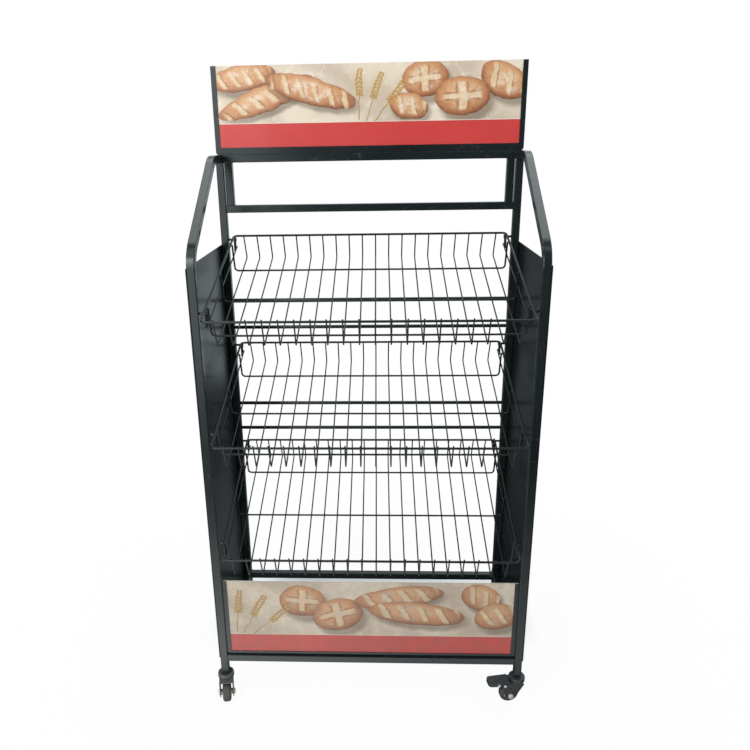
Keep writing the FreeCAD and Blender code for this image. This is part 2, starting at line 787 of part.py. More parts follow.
def save_casters():
    feet = {
        "front_right": (post_x, front_post_y, front_right_turn, True),
        "front_left": (-post_x, front_post_y, front_left_turn, False),
        "rear_right": (post_x, rear_post_y, rear_turn, False),
        "rear_left": (-post_x, rear_post_y, rear_turn, False),
    }
    sockets = []
    stems = []
    for name, (x, y, turn, braked) in feet.items():
        sockets.append(placed(stem_socket(), x, y, 0))
        stems.append(placed(caster_stem(), x, y, 0))
        save_caster(name, x, y, turn, braked)
    save(Part.makeCompound(sockets), "stem_sockets")
    save(Part.makeCompound(stems), "caster_stems")


save_frame()
save_signs()
save_baskets()
save_casters()
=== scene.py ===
import bpy
import bmesh
import json
import math
from mathutils import Matrix, Vector


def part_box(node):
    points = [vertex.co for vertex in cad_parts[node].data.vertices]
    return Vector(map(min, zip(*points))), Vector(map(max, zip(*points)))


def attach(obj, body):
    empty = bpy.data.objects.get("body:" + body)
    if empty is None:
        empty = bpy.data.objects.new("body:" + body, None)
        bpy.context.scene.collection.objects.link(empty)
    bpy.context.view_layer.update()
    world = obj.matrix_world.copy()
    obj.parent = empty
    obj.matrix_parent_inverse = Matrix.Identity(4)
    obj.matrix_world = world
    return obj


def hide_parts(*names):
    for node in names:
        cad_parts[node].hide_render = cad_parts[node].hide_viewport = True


# Bakery bread rack. Metres, +Z up, the front faces -Y. The basket wires, the guard rods and the welds
# are drawn here; every other piece is its solid with a finish.

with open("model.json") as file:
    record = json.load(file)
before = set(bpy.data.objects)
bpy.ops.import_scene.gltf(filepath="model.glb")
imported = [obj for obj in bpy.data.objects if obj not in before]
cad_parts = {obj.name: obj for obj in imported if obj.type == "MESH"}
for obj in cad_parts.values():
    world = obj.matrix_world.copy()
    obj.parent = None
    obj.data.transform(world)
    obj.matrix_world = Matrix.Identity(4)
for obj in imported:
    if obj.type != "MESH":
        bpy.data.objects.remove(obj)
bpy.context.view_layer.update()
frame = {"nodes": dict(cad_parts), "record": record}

# ---- driving sizes ----------------------------------------------------------------------------
front_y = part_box("front_post_left")[0].y
back_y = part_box("rear_post_left")[1].y
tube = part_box("top_bar")[1].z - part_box("top_bar")[0].z

BASKETS = ("top", "middle", "low")

# Baskets. Along their sloping floor, places count from the rear bend; heights are square off it.
# rear_gap: from the back of the rear uprights to the rear bend
# nose_reach: from the front of the front uprights to the bend of the lip
# wire_overshoot: the floor wires' ends above the middle of the rim, at the lip and at the back wall
# weld_sink: how deep two welded wires lie in each other
slope = math.radians(16.4)
rear_gap = 0.004
nose_reach = 0.0328
floor_length = (back_y - rear_gap - front_y + nose_reach) / math.cos(slope)
rim_height = 0.066
rear_lean = math.radians(11)
lip_lean = math.radians(7.5)
long_wire = 0.0034
long_wire_count = 20
long_bend = 0.006
wire_overshoot = 0.0028
wire_overshoot_rear = 0.0005
cross_wire = 0.0046
cross_bend = 0.009
cross_from_rear = 0.070
cross_mid_from_nose = 0.208
cross_from_nose = 0.049
rim_wire = 0.0055
rim_bend = 0.011
side_wire = 0.0034
side_wire_height = 0.027
side_wire_start = -0.012
weld_spot = 0.0024
weld_spot_shape = (1.15, 1.15, 0.8, 1)
weld_sink = 0.0008

# Frame details. guard_pitch lies between the two rods of a pair.
guard_rod = 0.0094
guard_pitch = 0.0753
bead = 0.0022
bead_reach = 0.0008
bead_bend = 0.0026

# Tubes with a weld bead at both ends: those that lie along X, those along Y, and the upright ones.
BEADED_TUBES = (
    ("front_bottom_bar", "rear_bottom_bar", "top_bar", "header_lower_bar"),
    ("side_rail_left", "side_rail_right"),
    ("header_leg_left", "header_leg_right"),
)

# Facets of round wires, and the two steps of a wire's domed end: size left, rise in diameters.
WIRE_SIDES = 12
RIM_SIDES = 16
ROD_SIDES = 24
BEAD_SIDES = 8
BEND_STEPS = 5
DOME = ((0.86, 0.25), (0.62, 0.13))


# ---- meshes -----------------------------------------------------------------------------------
def finished(bm, name, body, finish, stands_for=()):
    """Closes a bmesh into an object that rides on a body."""
    mesh = bpy.data.meshes.new(name)
    bmesh.ops.recalc_face_normals(bm, faces=bm.faces)
    for face in bm.faces:
        face.smooth = True
    bm.to_mesh(mesh)
    bm.free()
    piece = bpy.data.objects.new(name, mesh)
    bpy.context.scene.collection.objects.link(piece)
    piece.data.materials.append(finish)
    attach(piece, body)
    if stands_for:
        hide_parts(*stands_for)


def facing(direction, place):
    """Matrix that turns +Z to a direction and moves to a place."""
    return Matrix.Translation(place) @ direction.to_track_quat("Z", "Y").to_matrix().to_4x4()


def run(bm, ring, travel, size=1.0, centre=None):
    """Draws a ring of edges out along a straight run; gives the new ring."""
    drawn = bmesh.ops.extrude_edge_only(bm, edges=ring)["geom"]
    verts = [item for item in drawn if isinstance(item, bmesh.types.BMVert)]
    if size != 1.0:
        bmesh.ops.scale(bm, vec=(size,) * 3, space=Matrix.Translation(-centre), verts=verts)
    bmesh.ops.translate(bm, vec=travel, verts=verts)
    return [item for item in drawn if isinstance(item, bmesh.types.BMEdge)]


def rounded_end(bm, ring, at, heading, diameter):
    """Domes the end of a wire and closes it."""
    for size, rise in DOME:
        step = heading * diameter * rise
        ring = run(bm, ring, step, size, at)
        at = at + step
    bmesh.ops.edgeloop_fill(bm, edges=ring)


def bent_wire(bm, start, heading, diameter, moves, closed=False, sides=WIRE_SIDES):
    """Round wire: moves are (length,) for a straight run and (axis, angle, radius) for a bend."""
    heading = heading.normalized()
    first_heading = heading.copy()
    at = start.copy()
    made = bmesh.ops.create_circle(bm, radius=diameter / 2, segments=sides, matrix=facing(heading, at))
    first = list({edge for vert in made["verts"] for edge in vert.link_edges})
    ring = first
    for move in moves:
        if len(move) == 1:
            travel = heading * move[0]
            ring = run(bm, ring, travel)
            at = at + travel
        else:
            axis, angle, radius = move
            inward = axis.cross(heading).normalized()
            centre = at + inward * radius
            steps = max(2, math.ceil(BEND_STEPS * abs(angle) / (math.pi / 2)))
            spun = bmesh.ops.spin(bm, geom=ring, cent=centre, axis=axis, angle=angle, steps=steps)
            ring = [item for item in spun["geom_last"] if isinstance(item, bmesh.types.BMEdge)]
            turn = Matrix.Rotation(angle, 4, axis)
            at = centre + turn @ (at - centre)
            heading = turn.to_3x3() @ heading
    if closed:
        bmesh.ops.remove_doubles(bm, verts=bm.verts, dist=diameter * 0.05)
    else:
        rounded_end(bm, ring, at, heading, diameter)
        rounded_end(bm, first, start, -first_heading, diameter)


def wire_through(points, radius):
    """Start, heading and moves of a wire through corner points with one bend radius."""
    headings = [(b - a).normalized() for a, b in zip(points, points[1:])]
    turns = [a.angle(b) for a, b in zip(headings, headings[1:])]
    cuts = [0.0] + [radius * math.tan(turn / 2) for turn in turns] + [0.0]
    moves = []
    for index, heading in enumerate(headings):
        length = (points[index + 1] - points[index]).length - cuts[index] - cuts[index + 1]
        moves.append((length,))
        if index < len(turns):
            moves.append((heading.cross(headings[index + 1]).normalized(), turns[index], radius))
    return points[0], headings[0], moves


# ---- shader expressions -----------------------------------------------------------------------
class Value:
    """A shader socket; arithmetic on it adds Math nodes."""

    def __init__(self, shading, socket):
        self.shading = shading
        self.socket = socket

    def math(self, operation, *others):
        return self.shading.node("ShaderNodeMath", {"operation": operation},
                                 dict(enumerate((self,) + others)))

    def __add__(self, other):
        return self.math("ADD", other)

    __radd__ = __add__

    def __mul__(self, other):
        return self.math("MULTIPLY", other)

    __rmul__ = __mul__

    def __sub__(self, other):
        return self.math("SUBTRACT", other)

    def __rsub__(self, other):
        return self.shading.node("ShaderNodeMath", {"operation": "SUBTRACT"}, {0: other, 1: self})

    def __truediv__(self, other):
        return self.math("DIVIDE", other)

    def __pow__(self, other):
        return self.math("POWER", other)

    def ramp(self, from_low, from_high, to_low, to_high):
        """Straight ramp between two values, level outside them."""
        return self.shading.node("ShaderNodeMapRange",
                                 inputs=dict(enumerate((self, from_low, from_high, to_low, to_high))))

    def over(self, edge, width):
        """0 below an edge, 1 above it, with a soft step of some width."""
        return self.shading.node("ShaderNodeMapRange", {"interpolation_type": "SMOOTHSTEP"},
                                 {0: self, 1: edge - width / 2, 2: edge + width / 2})


class Shading:
    """Nodes of a material or of the world, under construction."""

    def __init__(self, holder, output):
        holder.use_nodes = True
        self.tree = holder.node_tree
        self.tree.nodes.clear()
        self.output = self.tree.nodes.new(output)

    def node(self, kind, settings=None, inputs=None, out=0):
        made = self.tree.nodes.new(kind)
        for key, setting in (settings or {}).items():
            if key == "stops":
                self.set_stops(made.color_ramp, setting)
            else:
                setattr(made, key, setting)
        for key, given in (inputs or {}).items():
            if isinstance(given, Value):
                self.tree.links.new(given.socket, made.inputs[key])
            else:
                made.inputs[key].default_value = given
        return Value(self, made.outputs[out])

    def set_stops(self, ramp, stops):
        while len(ramp.elements) < len(stops):
            ramp.elements.new(1.0)
        for element, (place, colour) in zip(ramp.elements, stops):
            element.position = place
            element.color = colour

    def parts(self, vector):
        split = self.node("ShaderNodeSeparateXYZ", inputs={0: vector}).socket.node
        return [Value(self, socket) for socket in split.outputs]

    def rays(self):
        """How a place is looked at: by the camera, by mirror-like rays, by clear-glass rays."""
        path = self.node("ShaderNodeLightPath").socket.node
        return [Value(self, path.outputs[kind])
                for kind in ("Is Camera Ray", "Is Glossy Ray", "Is Transmission Ray")]

    def surface(self, shader):
        self.tree.links.new(shader.socket, self.output.inputs["Surface"])


class Finish(Shading):
    """A material under construction."""

    def __init__(self, name):
        self.material = bpy.data.materials.new(name)
        super().__init__(self.material, "ShaderNodeOutputMaterial")

    def place(self):
        """Object coordinates: metres in the rack's own frame."""
        return self.node("ShaderNodeTexCoord", out="Object")

    def noise(self, scale, detail=2.0, rough=0.5, stretch=(1, 1, 1)):
        place = self.node("ShaderNodeMapping", inputs={"Vector": self.place(), "Scale": stretch})
        return self.node("ShaderNodeTexNoise", inputs={"Vector": place, "Scale": scale,
                                                       "Detail": detail, "Roughness": rough})

    def mix(self, mask, colour_a, colour_b):
        made = self.tree.nodes.new("ShaderNodeMix")
        made.data_type = "RGBA"
        for socket, given in ((made.inputs[0], mask), (made.inputs[6], colour_a), (made.inputs[7], colour_b)):
            if isinstance(given, Value):
                self.tree.links.new(given.socket, socket)
            else:
                socket.default_value = given
        return Value(self, made.outputs[2])

    def bump(self, height, distance, strength=1.0):
        return self.node("ShaderNodeBump", inputs={"Height": height, "Distance": distance,
                                                   "Strength": strength})

    def shade(self, **sockets):
        """Principled surface from named sockets; finishes the material."""
        inputs = {name.replace("_", " ").title().replace("Ior", "IOR"): given
                  for name, given in sockets.items()}
        self.surface(self.node("ShaderNodeBsdfPrincipled", inputs=inputs))
        return self.material


COOL_GLOSS = (0.90, 0.98, 1.0, 1.0)
WHITE = (1.0, 1.0, 1.0, 1.0)


def grey(level):
    return (level, level, level, 1.0)


# ---- finishes of metal, plastic and rubber ----------------------------------------------------
def powder_coat(name, dark, pale, rough, grain, shine=0.5):
    """Sprayed and baked coat: fine orange peel, faint cloudiness, dust in a few places."""
    coat = Finish(name)
    cloud = coat.noise(9.0, detail=4.0)
    dust = coat.noise(55.0, detail=6.0, rough=0.7).over(0.62, 0.12)
    peel = coat.noise(grain, detail=2.0)
    colour = coat.mix(cloud, dark, pale)
    colour = coat.mix(dust * 0.12, colour, grey(0.08))
    return coat.shade(base_color=colour, roughness=rough + cloud * 0.10 + dust * 0.12,
                      normal=coat.bump(peel, 0.00010, 0.25), specular_ior_level=shine,
                      specular_tint=COOL_GLOSS)


def gloss_enamel():
    """Stoved enamel on sheet steel: deep gloss with slow waves and fine peel."""
    enamel = Finish("gloss_enamel")
    wave = enamel.noise(5.0, detail=1.0)
    peel = enamel.noise(420.0, detail=1.0)
    smear = enamel.noise(3.0, detail=5.0, rough=0.65, stretch=(1, 1, 0.35))
    colour = enamel.mix(smear, (0.0030, 0.0052, 0.0056, 1), (0.0062, 0.0092, 0.0096, 1))
    height = wave * 0.8 + peel * 0.02
    return enamel.shade(base_color=colour, roughness=0.20 + smear * 0.14,
                        normal=enamel.bump(height, 0.0015, 0.3), specular_ior_level=0.40,
                        specular_tint=COOL_GLOSS)


def zinc_plate():
    """Bright zinc on turned steel: fine lathe marks and dull patches."""
    zinc = Finish("zinc_plate")
    patch = zinc.noise(160.0, detail=4.0)
    marks = zinc.noise(900.0, detail=2.0, stretch=(1, 1, 0.1))
    colour = zinc.mix(patch, (0.70, 0.70, 0.68, 1), (0.88, 0.87, 0.83, 1))
    return zinc.shade(base_color=colour, metallic=0.55, roughness=0.22 + patch * 0.2,
                      normal=zinc.bump(marks, 0.00005, 0.4))


def hub_plastic():
    """Cream moulded nylon, greyer where floor dirt gathers."""
    nylon = Finish("hub_plastic")
    dirt = nylon.noise(220.0, detail=5.0, rough=0.7).over(0.55, 0.25)
    colour = nylon.mix(dirt * 0.5, (0.86, 0.81, 0.62, 1), (0.50, 0.46, 0.36, 1))
    return nylon.shade(base_color=colour, roughness=0.42 + dirt * 0.2,
                       normal=nylon.bump(dirt, 0.0001, 0.3))


def tyre_rubber():
    """Dark rubber, scuffed paler where it rolls."""
    rubber = Finish("tyre_rubber")
    scuff = rubber.noise(300.0, detail=5.0, rough=0.75)
    colour = rubber.mix(scuff, (0.027, 0.027, 0.028, 1), (0.105, 0.103, 0.099, 1))
    return rubber.shade(base_color=colour, roughness=0.6 + scuff * 0.25,
                        normal=rubber.bump(scuff, 0.0002, 0.6))


def moulded_black():
    """Moulded plastic plug with a fine spark-eroded grain."""
    plastic = Finish("moulded_black")
    grain = plastic.noise(1400.0, detail=2.0)
    colour = plastic.mix(grain, grey(0.012), grey(0.030))
    return plastic.shade(base_color=colour, roughness=0.5 + grain * 0.15,
                         normal=plastic.bump(grain, 0.0001, 0.4))


# ---- printed cards ----------------------------------------------------------------------------
# A loaf: place along the card as a share of its width, place up it as a share of its height, tilt,
# half length and half thickness as shares of its height, and how many cuts, with 0 for a crossed top.
# A spray: place of its foot along and up the card, and tilt.
SPRAY_LENGTH = 0.60
HEADER_LOAVES = (
    (0.10, 0.86, 0.16, 0.40, 0.15, 5), (0.17, 0.63, 0.34, 0.62, 0.145, 6),
    (0.315, 0.70, -0.26, 0.56, 0.15, 6), (0.68, 0.82, 0.10, 0.27, 0.20, 0),
    (0.93, 0.78, -0.50, 0.30, 0.19, 3), (0.80, 0.62, 0.05, 0.33, 0.225, 0),
    (0.63, 0.52, -0.20, 0.24, 0.15, 3))
HEADER_SPRAYS = ((0.470, 0.36, 0.02), (0.492, 0.35, 0.34), (0.52, 0.34, 0.66))
LOWER_LOAVES = (
    (0.27, 0.74, -0.10, 0.27, 0.21, 0), (0.39, 0.56, 0.25, 0.30, 0.22, 0),
    (0.60, 0.80, 0.14, 0.52, 0.14, 5), (0.66, 0.58, -0.10, 0.56, 0.155, 5),
    (0.88, 0.80, -0.35, 0.24, 0.17, 3), (0.93, 0.55, 0.20, 0.25, 0.18, 3))
LOWER_SPRAYS = ((0.035, 0.30, 0.12), (0.06, 0.29, 0.48), (0.095, 0.28, 0.85))


def printed_card(name, node, band_share, darkening, loaves, sprays):
    """Bread on pale linen over a plain red band on the front, plain paper on the back."""
    low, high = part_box(node)
    width = high.x - low.x
    height = high.z - low.z
    card = Finish(name)
    x, y, z = card.parts(card.place())
    wander = card.node("ShaderNodeTexNoise", out="Color",
                       inputs={"Vector": card.place(), "Scale": 34.0, "Detail": 3.0})
    push_x, _, push_z = card.parts(wander)
    unevenness = 0.012
    bent_x = x + (push_x - 0.5) * unevenness
    bent_z = z + (push_z - 0.5) * unevenness
    crumb = card.noise(150.0, detail=5.0, rough=0.65)
    flour = card.noise(38.0, detail=6.0, rough=0.7)
    colour = linen(card, x, z, flour)
    for share, lift, tilt, long_half, short_half, cuts in loaves:
        colour = loaf(card, colour, bent_x, bent_z, low.x + share * width, low.z + lift * height,
                      tilt, long_half * height, short_half * height, cuts, crumb, flour)
    for share, lift, tilt in sprays:
        colour = wheat_ear(card, colour, bent_x, bent_z, low.x + share * width, low.z + lift * height,
                           tilt, height * SPRAY_LENGTH)
    band_top = low.z + band_share * height
    ink = card.noise(9.0, detail=2.0)
    red = card.mix(ink, (0.54, 0.036, 0.033, 1), (0.63, 0.050, 0.045, 1))
    colour = card.mix(1 - z.over(band_top, 0.0008), colour, red)
    rule_width, soft = 0.0018, 0.0006
    rule = z.over(band_top, soft) * (1 - z.over(band_top + rule_width, soft))
    colour = card.mix(rule * 0.7, colour, (0.80, 0.72, 0.62, 1))
    # The whole card turns darker brown in noisy patches, the more so the higher this share.
    colour = card.mix(flour * darkening, colour, (0.10, 0.085, 0.065, 1))
    behind = y.over((low.y + high.y) / 2, 0.0004)
    colour = card.mix(behind, colour, (0.78, 0.77, 0.74, 1))
    fibre = card.noise(700.0, detail=2.0)
    return card.shade(base_color=colour, roughness=0.38 + flour * 0.12,
                      normal=card.bump(fibre, 0.00004, 0.3), coat_weight=0.12 + ink * 0.08)


def linen(card, x, z, flour):
    """Pale cloth with soft slanting folds and flour spilt on it."""
    drift = card.noise(7.0, detail=3.0)
    fold = (x * 21.0 + z * 30.0 + drift * 9.0).math("SINE") * 0.5 + 0.5
    weave = card.noise(420.0, detail=1.0, stretch=(1, 1, 0.35))
    cloth = card.mix(fold, (0.53, 0.43, 0.32, 1), (0.76, 0.66, 0.52, 1))
    cloth = card.mix(weave * 0.35, cloth, (0.80, 0.71, 0.58, 1))
    return card.mix(flour.over(0.60, 0.16) * 0.55, cloth, (0.84, 0.78, 0.68, 1))


def oval(x, z, centre_x, centre_z, tilt, long_half, short_half):
    """Distance from an oval's middle, 1 on its outline, and the two turned coordinates."""
    c, s = math.cos(tilt), math.sin(tilt)
    dx = x - centre_x
    dz = z - centre_z
    along = (dx * c + dz * s) / long_half
    across = (dz * c - dx * s) / short_half
    return (along * along + across * across).math("SQRT"), along, across


def loaf(card, colour, x, z, centre_x, centre_z, tilt, long_half, short_half, cuts, crumb, flour):
    """Domed loaf lit from the upper left, with slanting cuts or, if cuts is 0, a crossed top."""
    drop = short_half * 0.35
    shadow, _, _ = oval(x, z, centre_x + drop * 0.7, centre_z - drop, tilt,
                        long_half * 1.02, short_half * 1.08)
    colour = card.mix((1 - shadow.over(0.98, 0.34)) * 0.62, colour, (0.13, 0.085, 0.05, 1))
    reach, along, across = oval(x, z, centre_x, centre_z, tilt, long_half, short_half)
    dome = (1 - reach * reach).math("MAXIMUM", 0.0).math("SQRT")
    light = dome * 0.62 + across * 0.20 - along * 0.06 + crumb * 0.45 - 0.10
    crust = card.node("ShaderNodeValToRGB", {"stops": (
        (0.0, (0.13, 0.040, 0.017, 1)), (0.30, (0.37, 0.140, 0.056, 1)),
        (0.62, (0.60, 0.300, 0.135, 1)), (1.0, (0.80, 0.56, 0.35, 1)))}, {0: light})
    if cuts:
        phase = (along * (cuts / 2) + across * 0.42 + crumb * 0.25).math("FRACT")
        opening = phase.over(0.30, 0.10) * (1 - phase.over(0.62, 0.10))
        lip = phase.over(0.60, 0.06) * (1 - phase.over(0.72, 0.08))
        field = (1 - across.math("ABSOLUTE").over(0.60, 0.22)) * (1 - along.math("ABSOLUTE").over(0.86, 0.10))
    else:
        arm = along.math("ABSOLUTE").math("MINIMUM", across.math("ABSOLUTE"))
        opening = 1 - arm.over(0.13, 0.08)
        lip = arm.over(0.15, 0.06) * (1 - arm.over(0.23, 0.08))
        field = 1 - reach.over(0.70, 0.14)
    crust = card.mix(lip * field * 0.6, crust, (0.25, 0.095, 0.022, 1))
    inside = card.mix(crumb, (0.60, 0.41, 0.21, 1), (0.88, 0.74, 0.52, 1))
    crust = card.mix(opening * field * 0.85, crust, inside)
    dusting = flour.over(0.54, 0.12) * (1 - reach.over(0.62, 0.5))
    crust = card.mix(dusting * 0.5, crust, (0.88, 0.80, 0.68, 1))
    return card.mix(1 - reach.over(1.0, 0.05), colour, crust)


def wheat_ear(card, colour, x, z, foot_x, foot_z, tilt, length):
    """Stem with pairs of grains that shrink towards the tip, and fine beards."""
    along_x, along_z = math.sin(tilt), math.cos(tilt)
    dx = x - foot_x
    dz = z - foot_z
    rise = (dx * along_x + dz * along_z) / length
    aside = ((dx * along_z - dz * along_x) / length).math("ABSOLUTE")
    stem = (1 - aside.over(0.011, 0.008)) * rise.over(0.0, 0.02) * (1 - rise.over(0.55, 0.02))
    colour = card.mix(stem, colour, (0.42, 0.27, 0.075, 1))
    beard = ((rise * 16.0 - aside * 22.0).math("FRACT") - 0.5).math("ABSOLUTE")
    beards = (1 - beard.over(0.07, 0.05)) * (1 - aside.over(0.15, 0.08)) * rise.over(0.55, 0.05)
    colour = card.mix(beards * (1 - rise.over(1.08, 0.08)) * 0.8, colour, (0.55, 0.38, 0.13, 1))
    phase = (rise * 13.0 - aside * 9.0).math("FRACT") - 0.5
    off = aside / (0.088 * (1 - rise * 0.30)) - 0.52
    grain = (phase * phase * 3.4 + off * off * 4.0).math("SQRT")
    ear = (1 - grain.over(0.90, 0.14)) * rise.over(0.45, 0.02) * (1 - rise.over(0.98, 0.02))
    shade = card.node("ShaderNodeValToRGB", {"stops": (
        (0.0, (0.74, 0.51, 0.19, 1)), (0.6, (0.52, 0.29, 0.075, 1)), (1.0, (0.22, 0.10, 0.02, 1)))},
        {0: grain})
    return card.mix(ear, colour, shade)


# ---- wire baskets -----------------------------------------------------------------------------
def basket_point(level, x, along, height):
    """Point in a basket: along its floor from the rear bend, and square off the floor."""
    low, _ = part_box(level + "_basket_floor_wires")
    nose_z = low.z + long_wire / 2 * math.cos(slope)
    bend_z = nose_z + floor_length * math.sin(slope)
    y = back_y - rear_gap - along * math.cos(slope) - height * math.sin(slope)
    z = bend_z - along * math.sin(slope) + height * math.cos(slope)
    return Vector((x, y, z))


def long_wire_places():
    low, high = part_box("top_basket_floor_wires")
    reach = (high.x - low.x - long_wire) / 2
    return [reach * (2 * index / (long_wire_count - 1) - 1) for index in range(long_wire_count)]


def cross_wire_places():
    return cross_from_rear, floor_length - cross_mid_from_nose, floor_length - cross_from_nose


def floor_wire_run(level, x):
    rise = rim_height + wire_overshoot
    rear_rise = rim_height + wire_overshoot_rear
    return [
        basket_point(level, x, rear_rise * math.tan(rear_lean), rear_rise),
        basket_point(level, x, 0, 0),
        basket_point(level, x, floor_length, 0),
        basket_point(level, x, floor_length + rise * math.tan(lip_lean), rise),
    ]


def make_floor_wires(level, finish):
    bm = bmesh.new()
    for x in long_wire_places():
        start, heading, moves = wire_through(floor_wire_run(level, x), long_bend)
        bent_wire(bm, start, heading, long_wire, moves)
    finished(bm, level + "_floor_wires_bent", level + "_basket", finish,
             [level + "_basket_floor_wires"])


def rim_half():
    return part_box("top_basket_rim")[1].x - rim_wire / 2


def rim_ends():
    contact = (long_wire + rim_wire) / 2 - weld_sink
    rear = rim_height * math.tan(rear_lean) - contact / math.cos(rear_lean)
    front = floor_length + rim_height * math.tan(lip_lean) + contact / math.cos(lip_lean)
    return rear, front


def make_cross_wires(level, finish):
    bm = bmesh.new()
    drop = -(long_wire + cross_wire) / 2
    half = rim_half() - (rim_wire + cross_wire) / 2
    for along in cross_wire_places():
        corners = [
            basket_point(level, -half, along, rim_height),
            basket_point(level, -half, along, drop),
            basket_point(level, half, along, drop),
            basket_point(level, half, along, rim_height),
        ]
        start, heading, moves = wire_through(corners, cross_bend)
        bent_wire(bm, start, heading, cross_wire, moves)
    finished(bm, level + "_cross_wires_bent", level + "_basket", finish,
             [level + "_basket_cross_wires"])


def make_rim(level, finish):
    bm = bmesh.new()
    half = rim_half()
    rear, front = rim_ends()
    corners = [basket_point(level, side * half, along, rim_height)
               for side, along in ((0, rear), (1, rear), (1, front), (-1, front), (-1, rear), (0, rear))]
    start, heading, moves = wire_through(corners, rim_bend)
    bent_wire(bm, start, heading, rim_wire, moves, closed=True, sides=RIM_SIDES)
    finished(bm, level + "_rim_bent", level + "_basket", finish, [level + "_basket_rim"])


def make_side_wires(level, finish):
    bm = bmesh.new()
    low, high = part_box(level + "_basket_side_wires")
    half = high.x - side_wire / 2
    drop = (side_wire_height + side_wire / 2) * math.sin(slope)
    front_along = (back_y - rear_gap - low.y - drop) / math.cos(slope)
    for side in (-1, 1):
        ends = [basket_point(level, side * half, along, side_wire_height)
                for along in (side_wire_start, front_along)]
        start, heading, moves = wire_through(ends, 0.0)
        bent_wire(bm, start, heading, side_wire, moves)
    finished(bm, level + "_side_wires_bent", level + "_basket", finish,
             [level + "_basket_side_wires"])


def make_weld_spots(level, finish):
    """Small nuggets where wires cross."""
    bm = bmesh.new()
    under = -long_wire / 2
    spots = [basket_point(level, x, along, under)
             for x in long_wire_places() for along in cross_wire_places()]
    rear_touch = rim_height * math.tan(rear_lean) - long_wire / 2
    front_touch = floor_length + rim_height * math.tan(lip_lean) + long_wire / 2
    spots += [basket_point(level, x, along, rim_height) for x in long_wire_places()
              for along in (rear_touch, front_touch)]
    touch = rim_half() - rim_wire / 2
    for side in (-1, 1):
        for along in cross_wire_places():
            spots.append(basket_point(level, side * touch, along, rim_height))
            spots.append(basket_point(level, side * touch, along, side_wire_height))
    for spot in spots:
        place = Matrix.Translation(spot) @ Matrix.Diagonal(weld_spot_shape)
        bmesh.ops.create_icosphere(bm, subdivisions=1, radius=weld_spot, matrix=place)
    finished(bm, level + "_weld_spots", level + "_basket", finish)


# ---- frame details ----------------------------------------------------------------------------
def make_guard_rods(finish):
    """Two pairs of round rods between the rear posts."""
    bm = bmesh.new()
    low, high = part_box("back_guard_rods")
    middle = (low + high) / 2
    radius = (high.y - low.y) / 2
    top = high.z - radius
    bottom = low.z + radius
    cap = guard_rod * sum(rise for size, rise in DOME)
    for z in (top, top - guard_pitch, bottom + guard_pitch, bottom):
        bent_wire(bm, Vector((low.x + cap, middle.y, z)), Vector((1, 0, 0)), guard_rod,
                  [(high.x - low.x - 2 * cap,)], sides=ROD_SIDES)
    finished(bm, "guard_rods_drawn", "rack_frame", finish, ["back_guard_rods"])


def bead_round(bm, centre, along):
    """Weld bead round the end of a square tube."""
    side = Vector((1, 0, 0)) if along.z else Vector((0, 0, 1))
    other = along.cross(side)
    half = tube / 2 + bead_reach / 2
    corners = [centre + side * (a * half) + other * (b * half)
               for a, b in ((0, -1), (1, -1), (1, 1), (-1, 1), (-1, -1), (0, -1))]
    start, heading, moves = wire_through(corners, bead_bend)
    bent_wire(bm, start, heading, bead, moves, closed=True, sides=BEAD_SIDES)


def make_weld_beads(finish):
    bm = bmesh.new()
    for axis, nodes in enumerate(BEADED_TUBES):
        for node in nodes:
            low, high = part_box(node)
            for end, way in ((low, -1), (high, 1)):
                centre = (low + high) / 2
                centre[axis] = end[axis]
                along = Vector((0, 0, 0))
                along[axis] = way
                bead_round(bm, centre, along)
    finished(bm, "weld_beads", "rack_frame", finish)


# ---- finishes on the frame's own nodes --------------------------------------------------------
def dress_nodes(finishes):
    slots = {entry["node"]: entry["material_slot"] for entry in frame["record"]["subparts"]}
    for name, node in frame["nodes"].items():
        node.data.materials.clear()
        # Painted light: the front left caster's pieces in the fork coat take a lighter copy of it, for the
        # light that falls on that caster.
        painted_lighter = slots[name] == "fork_coat" and name.startswith("front_left")
        node.data.materials.append(finishes["fork_coat_painted_light" if painted_lighter else slots[name]])


def print_card(place, *design):
    node = place + "_sign_card"
    frame["nodes"][node].data.materials[0] = printed_card(place + "_print", node, *design)


# ---- studio -----------------------------------------------------------------------------------
# paper_plain: share of plain white that the eye sees near the rack, with the rest as lit
# shadow_middle: how far from the rack that share is halfway to 1
# under_rack_shade: share of the lit paper under the rear half of the rack
# glossy_white: share of plain white behind the rack in gloss
COOL_ROOM = (0.85, 0.97, 1.0, 1.0)
# Warm tint of the painted floor reflection.
PAINTED_REFLECTION_WARM = (1.0, 0.97, 0.95, 1.0)
paper_radius = 2.6
paper_plain = 0.94
shadow_middle = 0.9
under_rack_shade = 0.96
glossy_white = 0.04

# Lamps: place, aim, width and height, watts.
LAMPS = {
    "key": ((-1.9, -2.7, 2.5), (0, 0, 0.8), (1.6, 1.6), 86),
    "low_key": ((-1.25, -3.3, 0.9), (-0.38, 0, 1.0), (1.0, 2.2), 14),
    "fill": ((2.4, -2.4, 2.2), (0, 0, 0.8), (1.4, 1.4), 22),
    "ceiling": ((0, 0.75, 3.3), (0, 0, 0.9), (2.6, 1.6), 32),
    "bend_left": ((-0.95, -1.25, 3.1), (-0.39, -0.15, 1.15), (0.6, 1.4), 4),
    "bend_right": ((0.95, -1.25, 3.1), (0.39, -0.15, 1.15), (0.3, 0.7), 1.2),
    "spot_left": ((-1.6, -0.9, 3.2), (0, 0, 0.8), (0.25, 0.25), 10),
    "spot_right": ((1.6, -0.9, 3.2), (0, 0, 0.8), (0.25, 0.25), 8),
}

# Camera: its place, and how far it looks down, is turned to the side and is rolled.
camera_place = Vector((0.02166, front_y - 1.5461, 1.3938))
camera_down = math.radians(19.12)
camera_turn = math.radians(-2.62)
camera_roll = math.radians(-1.0)


